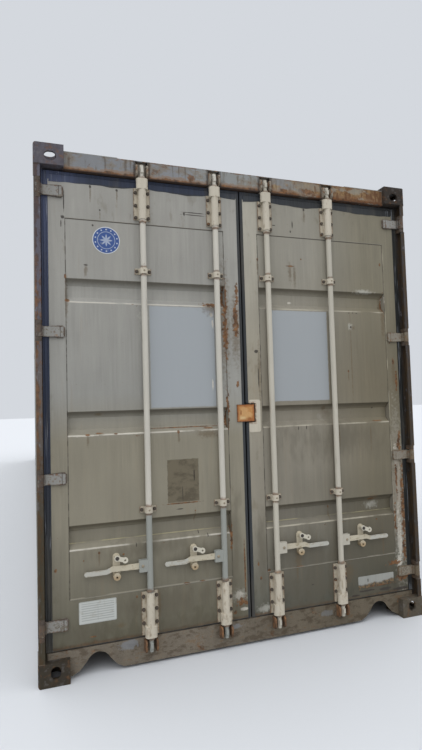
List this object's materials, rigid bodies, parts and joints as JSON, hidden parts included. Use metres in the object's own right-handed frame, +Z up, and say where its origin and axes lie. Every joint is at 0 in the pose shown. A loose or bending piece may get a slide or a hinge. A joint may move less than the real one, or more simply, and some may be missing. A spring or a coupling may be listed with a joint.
{
  "type": "shipping container",
  "caption": "Forty foot high cube dry freight container: corrugated steel box on corner castings, with two full-height cargo doors, turning lock bars, handles and catches.",
  "frame": {"origin": "on the ground, centred under the container", "axes": "+Y along the container from the doors to the front wall, +X to the right for someone facing the doors, +Z up; the doors are at the -Y end"},
  "size_m": [2.438, 12.192, 2.896],
  "materials": {
    "castings": "rusted",
    "posts": "rusted paint",
    "header": "weathered paint",
    "sill": "rusted paint",
    "keepers": "rusted",
    "hinge_lugs": "rusted",
    "rails": "weathered paint",
    "base_steel": "dull",
    "plywood": "worn",
    "wall_paint": "weathered paint",
    "roof_paint": "weathered paint",
    "vent": "matte",
    "door_paint": "weathered paint",
    "panel_paint": "weathered paint",
    "seal_rubber": "matte",
    "hinge_paint": "worn paint",
    "bracket_paint": "worn paint",
    "bar_paint": "worn paint",
    "handle_paint": "worn paint",
    "catch_steel": "worn paint",
    "guard_plate": "rusted"
  },
  "bodies": {
    "container": {"top_corner_castings": "castings", "bottom_corner_castings": "castings", "rear_corner_posts": "posts", "front_corner_posts": "posts", "door_header": "header", "door_sill": "sill", "bar_keepers": "keepers", "hinge_lugs": "hinge_lugs", "top_side_rails": "rails", "bottom_side_rails": "rails", "front_end_rails": "rails", "cross_members": "base_steel", "gooseneck_tunnel": "base_steel", "plywood_floor": "plywood", "left_side_wall": "wall_paint", "right_side_wall": "wall_paint", "front_wall": "wall_paint", "roof": "roof_paint", "roof_corner_plates": "roof_paint", "ventilators": "vent"},
    "left_door": {"left_door_frame": "door_paint", "left_door_panel": "panel_paint", "left_door_seal": "seal_rubber", "left_door_hinges": "hinge_paint", "left_bar_brackets": "bracket_paint", "left_handle_retainers": "bracket_paint", "seal_guard_plate": "guard_plate"},
    "right_door": {"right_door_frame": "door_paint", "right_door_panel": "panel_paint", "right_door_seal": "seal_rubber", "right_door_hinges": "hinge_paint", "right_bar_brackets": "bracket_paint", "right_handle_retainers": "bracket_paint"},
    "bar_1": {"lock_bar_1": "bar_paint"},
    "bar_handle_1": {"handle_1": "handle_paint"},
    "handle_catch_1": {"catch_1": "catch_steel"},
    "bar_2": {"lock_bar_2": "bar_paint"},
    "bar_handle_2": {"handle_2": "handle_paint"},
    "handle_catch_2": {"catch_2": "catch_steel"},
    "bar_3": {"lock_bar_3": "bar_paint"},
    "bar_handle_3": {"handle_3": "handle_paint"},
    "handle_catch_3": {"catch_3": "catch_steel"},
    "bar_4": {"lock_bar_4": "bar_paint"},
    "bar_handle_4": {"handle_4": "handle_paint"},
    "handle_catch_4": {"catch_4": "catch_steel"}
  },
  "joints": [
    {"name": "left_door_swing", "type": "hinge", "parent": "container", "child": "left_door", "pos_m": [-1.197, -6.079, 1.062], "axis": [0, 0, -1], "range_deg": [0, 255]},
    {"name": "right_door_swing", "type": "hinge", "parent": "container", "child": "right_door", "pos_m": [1.197, -6.079, 1.062], "axis": [0, 0, 1], "range_deg": [0, 255]},
    {"name": "bar_1_turn", "type": "hinge", "parent": "left_door", "child": "bar_1", "pos_m": [-0.618, -6.071, 1.4], "axis": [0, 0, -1], "range_deg": [-100, 0]},
    {"name": "handle_1_lift", "type": "hinge", "parent": "bar_1", "child": "bar_handle_1", "pos_m": [-0.66, -6.071, 0.552], "axis": [0, 1, 0], "range_deg": [0, 8]},
    {"name": "catch_1_turn", "type": "hinge", "parent": "left_door", "child": "handle_catch_1", "pos_m": [-0.802, -6.0855, 0.612], "axis": [0, -1, 0], "range_deg": [-72, 0]},
    {"name": "bar_2_turn", "type": "hinge", "parent": "left_door", "child": "bar_2", "pos_m": [-0.171, -6.071, 1.4], "axis": [0, 0, -1], "range_deg": [-100, 0]},
    {"name": "handle_2_lift", "type": "hinge", "parent": "bar_2", "child": "bar_handle_2", "pos_m": [-0.213, -6.071, 0.552], "axis": [0, 1, 0], "range_deg": [0, 8]},
    {"name": "catch_2_turn", "type": "hinge", "parent": "left_door", "child": "handle_catch_2", "pos_m": [-0.355, -6.0855, 0.612], "axis": [0, -1, 0], "range_deg": [-72, 0]},
    {"name": "bar_3_turn", "type": "hinge", "parent": "right_door", "child": "bar_3", "pos_m": [0.171, -6.071, 1.4], "axis": [0, 0, 1], "range_deg": [-100, 0]},
    {"name": "handle_3_lift", "type": "hinge", "parent": "bar_3", "child": "bar_handle_3", "pos_m": [0.213, -6.071, 0.552], "axis": [0, -1, 0], "range_deg": [0, 8]},
    {"name": "catch_3_turn", "type": "hinge", "parent": "right_door", "child": "handle_catch_3", "pos_m": [0.337, -6.0855, 0.612], "axis": [0, -1, 0], "range_deg": [-72, 0]},
    {"name": "bar_4_turn", "type": "hinge", "parent": "right_door", "child": "bar_4", "pos_m": [0.618, -6.071, 1.4], "axis": [0, 0, 1], "range_deg": [-100, 0]},
    {"name": "handle_4_lift", "type": "hinge", "parent": "bar_4", "child": "bar_handle_4", "pos_m": [0.66, -6.071, 0.552], "axis": [0, -1, 0], "range_deg": [0, 8]},
    {"name": "catch_4_turn", "type": "hinge", "parent": "right_door", "child": "handle_catch_4", "pos_m": [0.784, -6.0855, 0.612], "axis": [0, -1, 0], "range_deg": [-72, 0]}
  ]
}
